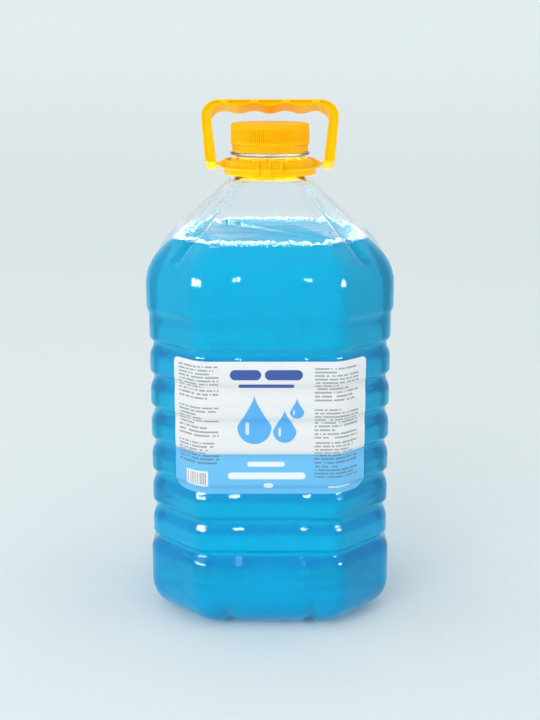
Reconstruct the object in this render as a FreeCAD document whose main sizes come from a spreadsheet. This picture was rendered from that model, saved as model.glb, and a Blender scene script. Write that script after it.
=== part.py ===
import FreeCAD, Part
import math
import os
import Sketcher

# Clear square bottle with chamfered corners, its contents, label, screw cap and carry handle.
# Millimetres. The origin is the centre of the base, the front of the bottle looks along -Y.

doc = FreeCAD.newDocument("DetergentBottle")
sheet = doc.addObject("Spreadsheet::Sheet", "Sizes")

SIZES = {
    # Blown bottle
    "body_width": 154.8,
    "corner_chamfer": 32.6,
    "corner_round": 13.5,
    "wall": 0.45,
    "heel_radius": 21.5,
    "first_groove": 51.1,
    "rib_pitch": 21.55,
    "rib_count": 7,
    "groove_depth": 2.2,
    "groove_reach": 4.9,
    "panel_recess": 1.4,
    "shoulder_rise": 16.45,
    "shoulder_radius": 29.2,
    "shoulder_top_chamfer": 10.7,
    "cone_rise": 60.5,
    "cone_top_half": 26.3,
    "flute_radius": 3.5,
    "flute_top_depth": 1.4,
    "flute_end_depth": 3.5,
    "flute_drop": 7.9,
    "flute_length": 36,
    "flute_tip_radius": 1.2,
    "flute_tip_length": 2.8,
    # Footed base
    "punt_radius": 43,
    "punt_top_radius": 12,
    "punt_height": 7,
    "foot_groove_radius": 4.4,
    "foot_groove_depth": 2.7,
    "foot_groove_angle": 20.5,
    # Neck
    "neck_radius": 22.9,
    "neck_rise": 2.9,
    "neck_fillet": 1.1,
    "bore_radius": 20.1,
    "flange_radius": 25.4,
    "flange_rise": 16,
    "flange_height": 2,
    "finish_radius": 22.3,
    "bead_radius": 23.2,
    "bead_rise": 4.4,
    "bead_height": 1.5,
    "mouth_rise": 16.8,
    # Contents and label
    "fill_drop": 33.2,
    "contents_gap": 0.1,
    "label_rise": 40.9,
    "label_height": 84.6,
    "label_half_width": 59,
    "label_thickness": 0.12,
    "label_glue": 0.05,
    "label_top_corner": 2.5,
    "label_bottom_corner": 6.5,
    # Cap, liner and tamper band
    "cap_radius": 25.1,
    "cap_bore_clearance": 0.6,
    "cap_crown": 1.6,
    "cap_edge": 1.6,
    "knurl_count": 120,
    "knurl_depth": 0.35,
    "knurl_set_back": 0.05,
    "knurl_lip": 1.7,
    "knurl_height": 8.4,
    "liner_radius": 22,
    "liner_thickness": 1.2,
    "seal_clearance": 0.3,
    "seam_gap": 0.3,
    "band_gap": 0.2,
    "band_height": 4.3,
    "band_radius": 24.5,
    "band_bead_reach": 0.9,
    "band_bead_height": 1.5,
    # Handle collar
    "collar_rise": 3.9,
    "collar_height": 9.3,
    "collar_radius": 29.6,
    "collar_wall": 1.5,
    "collar_rib_reach": 1.2,
    "collar_rib_height": 1.2,
    "collar_bar_width": 1.5,
    "collar_bar_root": 1.3,
    "collar_bar_spacing": 7.3,
    "tab_root": 4.6,
    "tab_thickness": 1.5,
    "tab_count": 14,
    "tab_gap_width": 1.2,
    "neck_clearance": 0.4,
    "flange_play": 1.9,
    "lug_reach": 32.4,
    "lug_width": 6,
    "lug_height": 4.4,
    "lug_face": 3.3,
    # Handle bail, drawn upright from its hinge line
    "hinge_rise": 6.2,
    "bail_lean": 25,
    "bail_thickness": 13.6,
    "bail_height": 41.25,
    "bail_grip": 3.75,
    "bail_half_width": 45.3,
    "bail_foot_half_width": 41.3,
    "bail_foot_drop": 1.5,
    "bail_leg_width": 6.3,
    "bail_foot_width": 7.4,
    "bail_corner": 12.7,
    "bail_inner_corner": 7.8,
    "bail_foot_corner": 3,
    "bail_rim": 0.9,
    "bail_recess": 3,
    "wave_pitch": 20,
    "wave_height": 2,
    "wave_round": 20,
    "hinge_bar_radius": 1.1,
    "hinge_bar_root": 1.5,
    "hinge_gap": 0.1,
}

for row, (name, value) in enumerate(SIZES.items(), start=1):
    sheet.set("A%d" % row, name)
    sheet.set("B%d" % row, str(value))
    sheet.setAlias("B%d" % row, name)
doc.recompute()


class Size:
    """A length that knows both its value and the sheet expression it comes from."""

    def __init__(self, value, text):
        self.value = float(value)
        self.text = text

    @staticmethod
    def of(other):
        return other if isinstance(other, Size) else Size(other, repr(float(other)))

    def join(self, other, sign, value):
        return Size(value, "(%s %s %s)" % (self.text, sign, other.text))

    def __add__(self, other):
        other = Size.of(other)
        return self.join(other, "+", self.value + other.value)

    def __sub__(self, other):
        other = Size.of(other)
        return self.join(other, "-", self.value - other.value)

    def __mul__(self, other):
        other = Size.of(other)
        return self.join(other, "*", self.value * other.value)

    def __truediv__(self, other):
        other = Size.of(other)
        return self.join(other, "/", self.value / other.value)

    def __neg__(self):
        return Size.of(0) - self


def size(name):
    return Size(sheet.get(name), "Sizes." + name)


def mm(name):
    return float(sheet.get(name))


def bind(thing, prop, length):
    setattr(thing, prop, length.value)
    thing.setExpression(prop, length.text)


# Levels of the bottle, each from the one that carries it

step_level = size("first_groove") + size("rib_count") * size("rib_pitch")
shoulder_start = step_level + size("shoulder_rise")
cone_top = shoulder_start + size("cone_rise")
neck_start = cone_top + size("neck_rise")
flange_bottom = cone_top + size("flange_rise")
flange_top = flange_bottom + size("flange_height")
bead_bottom = flange_bottom + size("bead_rise")
bead_top = bead_bottom + size("bead_height")
mouth_top = flange_bottom + size("mouth_rise")
fill_level = cone_top - size("fill_drop")
label_bottom = size("first_groove") + size("label_rise")
band_bottom = flange_top + size("band_gap")
collar_bottom = cone_top + size("collar_rise")
hinge_height = collar_bottom + size("hinge_rise")


# Sketches, revolutions and pads

def new_body(name):
    body = doc.addObject("PartDesign::Body", name)
    body.Label = name
    return body


def origin_plane(body, role):
    for feature in body.Origin.OriginFeatures:
        if feature.Role == role:
            return feature
    raise RuntimeError("no plane " + role)


def new_sketch(body, name, role):
    sketch = body.newObject("Sketcher::SketchObject", name)
    sketch.AttachmentSupport = [(origin_plane(body, role), "")]
    sketch.MapMode = "FlatFace"
    return sketch


def dimension(sketch, kind, places, length):
    index = sketch.addConstraint(Sketcher.Constraint(kind, *places, length.value))
    sketch.setExpression("Constraints[%d]" % index, length.text)


def place_point(sketch, edge, point):
    """Holds the start of an edge at its two coordinates."""
    for kind, length in (("DistanceX", Size.of(point[0])), ("DistanceY", Size.of(point[1]))):
        if abs(length.value) < 1e-6:
            if kind == "DistanceX":
                sketch.addConstraint(Sketcher.Constraint("PointOnObject", edge, 1, -2))
            else:
                sketch.addConstraint(Sketcher.Constraint("PointOnObject", edge, 1, -1))
        else:
            dimension(sketch, kind, (-1, 1, edge, 1), length)


def polygon(sketch, points):
    """A closed outline of straight edges through points given as pairs of lengths."""
    flat = [FreeCAD.Vector(Size.of(p[0]).value, Size.of(p[1]).value, 0) for p in points]
    first = sketch.GeometryCount
    count = len(points)
    for i in range(count):
        sketch.addGeometry(Part.LineSegment(flat[i], flat[(i + 1) % count]))
    for i in range(count):
        sketch.addConstraint(Sketcher.Constraint("Coincident", first + i, 2, first + (i + 1) % count, 1))
    for i in range(count):
        place_point(sketch, first + i, points[i])
    return sketch


def revolve(body, name, points):
    """Turns an outline of (radius, height) points round the vertical axis."""
    sketch = polygon(new_sketch(body, name + "_outline", "XZ_Plane"), points)
    turned = body.newObject("PartDesign::Revolution", name)
    turned.Profile = sketch
    turned.ReferenceAxis = (sketch, ["V_Axis"])
    turned.Angle = 360
    return turned


# The blown form: rounded octagons stacked along a profile of (height, half width, chamfer)

CHAMFER_INSET = 2 - math.sqrt(2)
CORNER_TURN = math.radians(45)
CORNER_FLATS = 1


def octagon(height, half, chamfer):
    """One level section, counter-clockwise, with each corner rounded by a short flat."""
    rounding = mm("corner_round")
    tangent = rounding * math.tan(CORNER_TURN / 2)
    flat = half - chamfer
    points = []
    for corner in range(8):
        toward = CORNER_TURN * corner
        tip = FreeCAD.Vector(half, flat if corner % 2 == 0 else -flat, 0)
        if corner % 2:
            tip = FreeCAD.Vector(flat, half, 0)
        turn = FreeCAD.Rotation(FreeCAD.Vector(0, 0, 1), 90 * (corner // 2))
        tip = turn.multVec(tip)
        middle = CORNER_TURN * (corner + 0.5)
        reach = rounding / math.cos(CORNER_TURN / 2)
        centre = tip - FreeCAD.Vector(math.cos(middle), math.sin(middle), 0) * reach
        for step in range(CORNER_FLATS + 1):
            angle = toward + CORNER_TURN * step / CORNER_FLATS
            spot = centre + FreeCAD.Vector(math.cos(angle), math.sin(angle), 0) * rounding
            points.append(spot + FreeCAD.Vector(0, 0, height))
    return points


def ring(height, radius):
    """A level round section with as many points as an octagon."""
    count = 8 * (CORNER_FLATS + 1)
    points = []
    for step in range(count):
        angle = CORNER_TURN / 2 + 2 * math.pi * (step - CORNER_FLATS / 2) / count
        points.append(FreeCAD.Vector(radius * math.cos(angle), radius * math.sin(angle), height))
    return points


def stack(sections):
    """A closed solid through level sections, of flat faces."""
    faces = []
    for low, high in zip(sections, sections[1:]):
        for i in range(len(low)):
            after = (i + 1) % len(low)
            corners = [low[i], low[after], high[after], high[i]]
            normal = (corners[1] - corners[0]).cross(corners[3] - corners[0]).normalize()
            if abs((corners[2] - corners[0]).dot(normal)) < 1e-6:
                faces.append(Part.Face(Part.makePolygon(corners + corners[:1])))
            else:
                faces.append(Part.Face(Part.makePolygon([corners[0], corners[1], corners[2], corners[0]])))
                faces.append(Part.Face(Part.makePolygon([corners[0], corners[2], corners[3], corners[0]])))
    for end in (sections[0], sections[-1]):
        faces.append(Part.Face(Part.makePolygon(end + end[:1])))
    shell = Part.makeShell(faces)
    shell.sewShape()
    solid = Part.makeSolid(shell)
    if solid.Volume < 0:
        solid.reverse()
    return solid


def heel_rows():
    """Quarter round from the base up to the side, as (height, half width)."""
    half = mm("body_width") / 2
    heel = mm("heel_radius")
    rows = []
    for degrees in (0, 30, 60, 90):
        angle = math.radians(degrees)
        rows.append((heel * (1 - math.cos(angle)), half - heel * (1 - math.sin(angle))))
    return rows


def rib_rows():
    """Grooves between pillow-shaped ribs, and the step up to the shoulder band."""
    half = mm("body_width") / 2
    crest = half - mm("panel_recess")
    reach = mm("groove_reach")
    rows = []
    for i in range(int(mm("rib_count"))):
        centre = mm("first_groove") + i * mm("rib_pitch")
        rows.append((centre - reach, half if i == 0 else crest))
        rows.append((centre, crest - mm("groove_depth")))
        rows.append((centre + reach, crest))
    step = step_level.value
    rows.append((step - reach / 2, crest))
    rows.append((step + reach / 2, half))
    return rows


def plain_rows():
    """A straight side at the depth of the groove floors."""
    half = mm("body_width") / 2
    floor = half - mm("panel_recess") - mm("groove_depth")
    step = step_level.value
    reach = mm("groove_reach")
    return [(mm("first_groove") - reach, half), (mm("first_groove"), floor),
            (step - reach / 2, floor), (step + reach / 2, half)]


def shoulder_bend(degrees):
    radius = mm("shoulder_radius")
    angle = math.radians(degrees)
    return (shoulder_start.value + radius * math.sin(angle),
            mm("body_width") / 2 - radius * (1 - math.cos(angle)))


def shoulder_rows():
    """Round shoulder, then the straight cone up to the neck."""
    rows = [shoulder_bend(degrees) for degrees in (0, 22.5, 45)]
    rows.append((cone_top.value, mm("cone_top_half")))
    return rows


def chamfer_at(height, half):
    """Corner chamfer: a parallel inset on the body, shrinking towards the neck on the shoulder."""
    full = mm("body_width") / 2
    if height <= shoulder_start.value:
        return mm("corner_chamfer") - CHAMFER_INSET * (full - half)
    share = (full - half) / (full - mm("neck_radius"))
    return mm("corner_chamfer") + share * (mm("shoulder_top_chamfer") - mm("corner_chamfer"))


def inset_sections(rows, inset):
    """Sections of a profile moved inwards by a wall, square to its own slope."""
    sections = []
    for i, (height, half) in enumerate(rows):
        before = rows[max(i - 1, 0)]
        after = rows[min(i + 1, len(rows) - 1)]
        normals = []
        for low, high in ((before, (height, half)), ((height, half), after)):
            run = math.hypot(high[0] - low[0], high[1] - low[1])
            if run > 0:
                normals.append(((high[0] - low[0]) / run, (low[1] - high[1]) / run))
        out = sum(n[0] for n in normals)
        up = sum(n[1] for n in normals)
        length = math.hypot(out, up)
        out, up = out / length, up / length
        shift = inset / (out * normals[0][0] + up * normals[0][1])
        if height == 0:
            out, up, shift = 0, -1, inset
        chamfer = chamfer_at(height, half) - CHAMFER_INSET * shift * out
        sections.append(octagon(height - shift * up, half - shift * out, chamfer))
    return sections


def round_tool(centre, across, upright, radius):
    """Six-sided section of a pressing tool, square to its run, with an edge foremost."""
    points = []
    for step in range(6):
        angle = math.radians(60 * step + 30)
        points.append(centre + across * (radius * math.cos(angle)) + upright * (radius * math.sin(angle)))
    return points


def foot_groove_cutter(inset):
    """Radial groove under the base that climbs the heel and runs out on the side."""
    radius = mm("foot_groove_radius")
    drop = radius - mm("foot_groove_depth")
    bend = (mm("body_width") / 2 - mm("heel_radius")) / math.cos(math.radians(mm("foot_groove_angle")))
    arm = mm("heel_radius") + radius
    across = FreeCAD.Vector(0, 1, 0)
    hub = FreeCAD.Vector(bend, 0, arm - drop)
    start = FreeCAD.Vector(mm("punt_top_radius"), 0, -drop)
    sections = [round_tool(start, across, FreeCAD.Vector(0, 0, 1), radius + inset)]
    for degrees in (0, 30, 60, 90):
        angle = math.radians(degrees)
        inward = FreeCAD.Vector(-math.sin(angle), 0, math.cos(angle))
        sections.append(round_tool(hub - inward * arm, across, inward, radius + inset))
    return stack(sections)


def flute_cutter(inset):
    """Straight flute down the middle of a shoulder chamfer, deepest at its lower end."""
    low, wide = shoulder_bend(45)
    slope = (wide - mm("cone_top_half")) / (cone_top.value - low)
    radius = mm("flute_radius")
    spots = []
    start = cone_top.value - mm("flute_drop")
    end = start - mm("flute_length")
    for height, depth in ((start, mm("flute_top_depth")), (end, mm("flute_end_depth"))):
        half = mm("cone_top_half") + (cone_top.value - height) * slope
        away = (2 * half - chamfer_at(cone_top.value, half)) / math.sqrt(2)
        proud = (radius - depth) / math.sqrt(2)
        spots.append(FreeCAD.Vector(away + proud, 0, height + proud))
    across = FreeCAD.Vector(0, 1, 0)
    run = (spots[1] - spots[0]).normalize()
    upright = run.cross(across)
    tip = run * (mm("flute_tip_length") + inset)
    tip_radius = mm("flute_tip_radius") + inset
    sections = [round_tool(spots[0] - tip, across, upright, tip_radius),
                round_tool(spots[0], across, upright, radius + inset),
                round_tool(spots[1], across, upright, radius + inset),
                round_tool(spots[1] + tip, across, upright, tip_radius)]
    return stack(sections)


def hollows(inset):
    """What is pressed into the form: the punt, eight foot grooves and four shoulder flutes."""
    punt = stack([ring(0, mm("punt_radius") + inset),
                  ring(mm("punt_height") + inset, mm("punt_top_radius") + inset)])
    cutters = [punt]
    for quarter in range(4):
        flute = flute_cutter(inset)
        flute.rotate(FreeCAD.Vector(), FreeCAD.Vector(0, 0, 1), 90 * quarter + 45)
        cutters.append(flute)
        for side in (-1, 1):
            groove = foot_groove_cutter(inset)
            turn = 90 * quarter + side * mm("foot_groove_angle")
            groove.rotate(FreeCAD.Vector(), FreeCAD.Vector(0, 0, 1), turn)
            cutters.append(groove)
    return cutters


def blown_form(inset, side_rows):
    """The bottle below its neck finish, inset by a wall."""
    sections = inset_sections(heel_rows() + side_rows + shoulder_rows(), inset)
    sections.append(ring(neck_start.value - mm("neck_fillet"), mm("neck_radius") + mm("neck_fillet") - inset))
    sections.append(ring(neck_start.value, mm("neck_radius") - inset))
    return stack(sections).cut(hollows(inset))


def shaped(name, shape):
    feature = doc.addObject("Part::Feature", name)
    feature.Shape = shape
    return feature


def inset_outline(wire, rim):
    return Part.Face(wire).makeOffset2D(-rim)


def part_object(kind, name, **lengths):
    thing = doc.addObject(kind, name)
    for prop, length in lengths.items():
        bind(thing, prop, length)
    return thing


def place(thing, x=0, y=0, z=0):
    """Puts an object at a place whose coordinates may be sheet lengths."""
    spot = [Size.of(length) for length in (x, y, z)]
    thing.Placement.Base = FreeCAD.Vector(*[length.value for length in spot])
    for axis, length in zip("xyz", spot):
        if "Sizes" in length.text:
            thing.setExpression("Placement.Base." + axis, length.text)


def joined(kind, name, *pieces):
    """Part::Cut of two pieces, or a fuse or common of several."""
    result = doc.addObject(kind, name)
    if kind == "Part::Cut":
        result.Base, result.Tool = pieces
    else:
        result.Shapes = list(pieces)
    result.Label = name
    return result


# Bottle: blown outside less blown inside, with the neck finish turned on top

outside = shaped("bottle_outside", blown_form(0, rib_rows()))
inside = shaped("bottle_inside", blown_form(mm("wall"), rib_rows()))
shell = joined("Part::Cut", "bottle_shell", outside, inside)
neck = new_body("bottle_neck")
revolve(neck, "neck_finish", [
    (size("neck_radius") - size("wall"), neck_start),
    (size("neck_radius"), neck_start),
    (size("neck_radius"), flange_bottom),
    (size("flange_radius"), flange_bottom),
    (size("flange_radius"), flange_top),
    (size("finish_radius"), flange_top),
    (size("finish_radius"), bead_bottom),
    (size("bead_radius"), bead_bottom),
    (size("finish_radius"), bead_top),
    (size("finish_radius"), mouth_top),
    (size("bore_radius"), mouth_top),
    (size("bore_radius"), flange_bottom - size("flange_height")),
])
bottle = joined("Part::MultiFuse", "bottle", shell, neck)


# Contents up to the fill level

contents_form = shaped("contents_form", blown_form(mm("wall") + mm("contents_gap"), plain_rows()))
fill = part_object("Part::Box", "fill_space", Length=size("body_width"), Width=size("body_width"),
                   Height=fill_level)
place(fill, -size("body_width") / 2, -size("body_width") / 2)
detergent = joined("Part::MultiCommon", "detergent", contents_form, fill)


# Label: a sheet over the front and round both front corners, in and out of the grooves

def ribbed_skin(reach):
    return stack(inset_sections(rib_rows(), -reach))


label_top = label_bottom + size("label_height")
sheet_form = ribbed_skin(mm("label_glue") + mm("label_thickness")).cut(ribbed_skin(mm("label_glue")))
label_sheet = shaped("label_sheet", sheet_form)
window = new_body("label_window")
window_sketch = new_sketch(window, "label_outline", "XZ_Plane")
low_corner = size("label_bottom_corner")
high_corner = size("label_top_corner")
polygon(window_sketch, [
    (-size("label_half_width") + low_corner, label_bottom),
    (size("label_half_width") - low_corner, label_bottom),
    (size("label_half_width"), label_bottom + low_corner),
    (size("label_half_width"), label_top - high_corner),
    (size("label_half_width") - high_corner, label_top),
    (-size("label_half_width") + high_corner, label_top),
    (-size("label_half_width"), label_top - high_corner),
    (-size("label_half_width"), label_bottom + low_corner),
])
window_pad = window.newObject("PartDesign::Pad", "label_window_pad")
window_pad.Profile = window_sketch
bind(window_pad, "Length", size("body_width"))
label = joined("Part::MultiCommon", "label", label_sheet, window)


# Screw cap with a knurled skirt

cap_bottom = band_bottom + size("band_height") + size("seam_gap")
crown_under = mouth_top + size("seal_clearance") + size("liner_thickness")
cap_top = crown_under + size("cap_crown")
cap_bore = size("finish_radius") + size("cap_bore_clearance")
knurl_root = size("cap_radius") - size("knurl_depth") * 2
knurl_bottom = cap_bottom + size("knurl_lip")
knurl_top = knurl_bottom + size("knurl_height")
cap_core = new_body("cap_core")
revolve(cap_core, "cap_turned", [
    (0, crown_under),
    (cap_bore, crown_under),
    (cap_bore, cap_bottom),
    (size("cap_radius"), cap_bottom),
    (size("cap_radius"), knurl_bottom),
    (knurl_root, knurl_bottom),
    (knurl_root, knurl_top),
    (size("cap_radius"), knurl_top),
    (size("cap_radius"), cap_top - size("cap_edge")),
    (size("cap_radius") - size("cap_edge"), cap_top),
    (0, cap_top),
])


def knurl_ring():
    """Fine upright ribs round the skirt, each a small ridge."""
    count = int(mm("knurl_count"))
    points = []
    for i in range(2 * count):
        radius = mm("cap_radius") - mm("knurl_set_back") - (i % 2) * mm("knurl_depth")
        angle = math.pi * i / count
        points.append(FreeCAD.Vector(radius * math.cos(angle), radius * math.sin(angle), knurl_bottom.value))
    outer = Part.Face(Part.makePolygon(points + points[:1]))
    lift = FreeCAD.Vector(0, 0, mm("knurl_height"))
    bore = Part.makeCylinder(knurl_root.value - mm("knurl_depth"), mm("knurl_height"),
                             FreeCAD.Vector(0, 0, knurl_bottom.value))
    return outer.extrude(lift).cut(bore)


knurl = shaped("cap_knurl", knurl_ring())
screw_cap = joined("Part::MultiFuse", "screw_cap", cap_core, knurl)


# Sealing disc inside the cap

cap_liner = part_object("Part::Cylinder", "cap_liner", Radius=size("liner_radius"),
                        Height=size("liner_thickness"))
place(cap_liner, z=mouth_top + size("seal_clearance"))


# Tamper band, held below the bead of the neck

band_bore = size("bead_radius") + size("neck_clearance")
band_top = band_bottom + size("band_height")
band_bead_top = band_bottom + size("band_bead_height")
tamper_band = new_body("tamper_band")
revolve(tamper_band, "band_ring", [
    (size("band_radius"), band_bottom),
    (size("band_radius"), band_top),
    (band_bore, band_top),
    (band_bore, band_bead_top),
    (band_bore - size("band_bead_reach"), band_bottom),
])


# Handle collar: a ring with a middle rib, front bars, side lugs and snap tabs round the neck

collar_top = collar_bottom + size("collar_height")
rib_low = collar_bottom + (size("collar_height") - size("collar_rib_height")) / 2
rib_high = rib_low + size("collar_rib_height")
rib_reach = size("collar_radius") + size("collar_rib_reach")
collar_bore = size("collar_radius") - size("collar_wall")
ring_body = new_body("collar_ring")
revolve(ring_body, "collar_turned", [
    (collar_bore, collar_bottom),
    (size("collar_radius"), collar_bottom),
    (size("collar_radius"), rib_low),
    (rib_reach, rib_low),
    (rib_reach, rib_high),
    (size("collar_radius"), rib_high),
    (size("collar_radius"), collar_top),
    (collar_bore, collar_top),
])
tab_tip = size("neck_radius") + size("neck_clearance")
tab_top = flange_bottom - size("flange_play")
tab_low = collar_bottom + size("tab_root")
wall_middle = size("collar_radius") - size("collar_wall") / 2
tab_sketch = new_sketch(ring_body, "tab_outline", "XZ_Plane")
polygon(tab_sketch, [
    (wall_middle, tab_low),
    (wall_middle, tab_low + size("tab_thickness")),
    (tab_tip + size("tab_thickness"), tab_top),
    (tab_tip, tab_top),
    (tab_tip, tab_top - size("tab_thickness")),
])
tab = ring_body.newObject("PartDesign::Pad", "snap_tab")
tab.Profile = tab_sketch
tab.Midplane = True
tab_ring = (tab_tip + size("tab_thickness")) * (2 * math.pi)
bind(tab, "Length", tab_ring / size("tab_count") - size("tab_gap_width"))
tabs = ring_body.newObject("PartDesign::PolarPattern", "snap_tabs")
tabs.Originals = [tab]
tabs.Axis = (origin_plane(ring_body, "Z_Axis"), [""])
tabs.Angle = 360
tabs.Occurrences = int(mm("tab_count"))
tabs.setExpression("Occurrences", "Sizes.tab_count")
ring_body.Tip = tabs
collar_pieces = [ring_body]
for i in (-1, 0, 1):
    bar = part_object("Part::Box", "collar_bar_%d" % (i + 2), Length=size("collar_bar_width"),
                      Width=size("collar_rib_reach") + size("collar_bar_root"),
                      Height=size("collar_height"))
    place(bar, size("collar_bar_spacing") * i - size("collar_bar_width") / 2, -rib_reach, collar_bottom)
    collar_pieces.append(bar)
lug_low = hinge_height - size("lug_height") / 2
for side in (-1, 1):
    lug = new_body("collar_lug_right" if side > 0 else "collar_lug_left")
    lug_sketch = new_sketch(lug, lug.Name + "_outline", "XZ_Plane")
    across = [
        (wall_middle, lug_low),
        (size("lug_reach"), lug_low),
        (size("lug_reach"), lug_low + size("lug_face")),
        (rib_reach, collar_top),
        (wall_middle, collar_top),
    ]
    polygon(lug_sketch, [(point[0] * side, point[1]) for point in across])
    lug_pad = lug.newObject("PartDesign::Pad", lug.Name + "_pad")
    lug_pad.Profile = lug_sketch
    lug_pad.Midplane = True
    bind(lug_pad, "Length", size("lug_width"))
    collar_pieces.append(lug)
handle_collar = joined("Part::MultiFuse", "handle_collar", *collar_pieces)


# Handle bail, drawn upright round its hinge line, then leaned back

def rounded_outline(corners):
    """A closed wire through (x, z, radius) corners, each rounded by a tangent arc."""
    count = len(corners)
    spots = [FreeCAD.Vector(x, 0, z) for x, z, radius in corners]
    ends = []
    for i in range(count):
        before = (spots[i - 1] - spots[i]).normalize()
        after = (spots[(i + 1) % count] - spots[i]).normalize()
        radius = corners[i][2]
        if radius == 0:
            ends.append((spots[i], None, spots[i]))
            continue
        half_angle = before.getAngle(after) / 2
        tangent = radius / math.tan(half_angle)
        bisector = (before + after).normalize()
        crown = spots[i] + bisector * (radius / math.sin(half_angle) - radius)
        ends.append((spots[i] + before * tangent, crown, spots[i] + after * tangent))
    edges = []
    for i in range(count):
        arrive, crown, leave = ends[i]
        if crown is not None:
            edges.append(Part.Arc(arrive, crown, leave).toShape())
        edges.append(Part.LineSegment(leave, ends[(i + 1) % count][0]).toShape())
    return Part.Wire(edges)


def bail_corners():
    """Outline from the right foot round the outside, then back along the finger waves."""
    foot = mm("bail_foot_half_width")
    under = mm("bail_height") - mm("bail_grip")
    inner_foot = foot - mm("bail_foot_width")
    inner_top = mm("bail_half_width") - mm("bail_leg_width")
    low = -mm("bail_foot_drop")
    right = [(inner_foot, low, 0), (foot, low, mm("bail_foot_corner")),
             (mm("bail_half_width"), mm("bail_height"), mm("bail_corner"))]
    left = [(-x, z, radius) for x, z, radius in reversed(right)]
    waves = []
    for step in (-3, -2, -1, 0, 1, 2, 3):
        swing = mm("wave_height") / 2 * (-1 if step % 2 == 0 else 1)
        bend = mm("wave_round") if abs(step) < 3 else 0
        waves.append((step * mm("wave_pitch") / 2, under + swing, bend))
    waves[0] = (-inner_top, under + mm("wave_height") / 2, mm("bail_inner_corner"))
    waves[-1] = (inner_top, under + mm("wave_height") / 2, mm("bail_inner_corner"))
    return right + left + waves


def bail_form():
    thick = mm("bail_thickness")
    outline = rounded_outline(bail_corners())
    plate = Part.Face(outline).extrude(FreeCAD.Vector(0, thick, 0))
    plate.translate(FreeCAD.Vector(0, -thick / 2, 0))
    field = inset_outline(outline, mm("bail_rim"))
    for side in (-1, 1):
        recess = field.extrude(FreeCAD.Vector(0, mm("bail_recess") * side, 0))
        recess.translate(FreeCAD.Vector(0, -side * thick / 2, 0))
        plate = plate.cut(recess)
    bar_start = mm("lug_reach") + mm("hinge_gap")
    bar_length = mm("bail_foot_half_width") - mm("bail_foot_width") + mm("hinge_bar_root") - bar_start
    for side in (-1, 1):
        bar = Part.makeCylinder(mm("hinge_bar_radius"), bar_length, FreeCAD.Vector(side * bar_start, 0, 0),
                                FreeCAD.Vector(side, 0, 0))
        plate = plate.fuse(bar)
    return plate


handle_bail = shaped("handle_bail", bail_form())
handle_bail.Placement = FreeCAD.Placement(FreeCAD.Vector(0, 0, hinge_height.value),
                                          FreeCAD.Rotation(FreeCAD.Vector(1, 0, 0), -mm("bail_lean")))

doc.recompute()

NODES = [bottle, detergent, label, screw_cap, cap_liner, tamper_band, handle_collar, handle_bail]
for thing in doc.Objects:
    if "Invalid" in thing.State or "Error" in thing.State:
        raise RuntimeError("%s failed: %s" % (thing.Name, thing.State))
os.makedirs("parts", exist_ok=True)
for node in NODES:
    if node.Shape.isNull() or not node.Shape.isValid():
        raise RuntimeError(node.Label + " has no valid shape")
    node.Shape.exportStep("parts/%s.step" % node.Label)
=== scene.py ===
"""A clear five litre bottle of blue laundry gel, dressed round its fixed frame."""

import math
import random

import bmesh
import bpy
from bpy.props import FloatProperty, FloatVectorProperty, IntProperty, PointerProperty
from mathutils import Matrix, Vector


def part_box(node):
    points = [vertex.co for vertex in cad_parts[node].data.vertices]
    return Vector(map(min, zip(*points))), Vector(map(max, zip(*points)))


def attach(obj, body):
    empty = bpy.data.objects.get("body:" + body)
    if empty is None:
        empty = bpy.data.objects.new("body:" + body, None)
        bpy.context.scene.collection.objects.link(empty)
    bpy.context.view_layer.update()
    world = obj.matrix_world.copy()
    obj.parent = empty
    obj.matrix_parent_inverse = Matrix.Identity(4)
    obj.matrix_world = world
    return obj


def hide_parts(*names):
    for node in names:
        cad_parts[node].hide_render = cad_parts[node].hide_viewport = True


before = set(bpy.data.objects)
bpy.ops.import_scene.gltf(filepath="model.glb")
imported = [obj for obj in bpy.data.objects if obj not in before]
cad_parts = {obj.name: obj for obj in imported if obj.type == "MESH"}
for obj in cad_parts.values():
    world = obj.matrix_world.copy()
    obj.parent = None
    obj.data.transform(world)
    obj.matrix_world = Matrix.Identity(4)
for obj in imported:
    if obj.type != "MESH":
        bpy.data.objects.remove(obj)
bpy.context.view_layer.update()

bl_info = {
    "name": "Laundry gel bottle",
    "version": (1, 0, 0),
    "blender": (4, 5, 0),
    "location": "3D View > Sidebar > Bottle",
    "description": "Builds a clear five litre bottle of laundry gel with its cap, label and carry handle",
    "category": "Add Mesh",
}

MM = 0.001
UP = Vector((0, 0, 1))


def top_of(node):
    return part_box(node)[1].z


def bottom_of(node):
    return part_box(node)[0].z


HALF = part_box("bottle")[1].x
MOUTH = top_of("bottle")
FILL = top_of("detergent")


# Sizes and colours that a user would change

def length(name, note, value):
    return FloatProperty(name=name, description=note, default=value, unit="LENGTH", subtype="DISTANCE", precision=5)


def colour(name, note, value):
    return FloatVectorProperty(name=name, description=note, default=value, subtype="COLOR", size=3, min=0, max=1)


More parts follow.
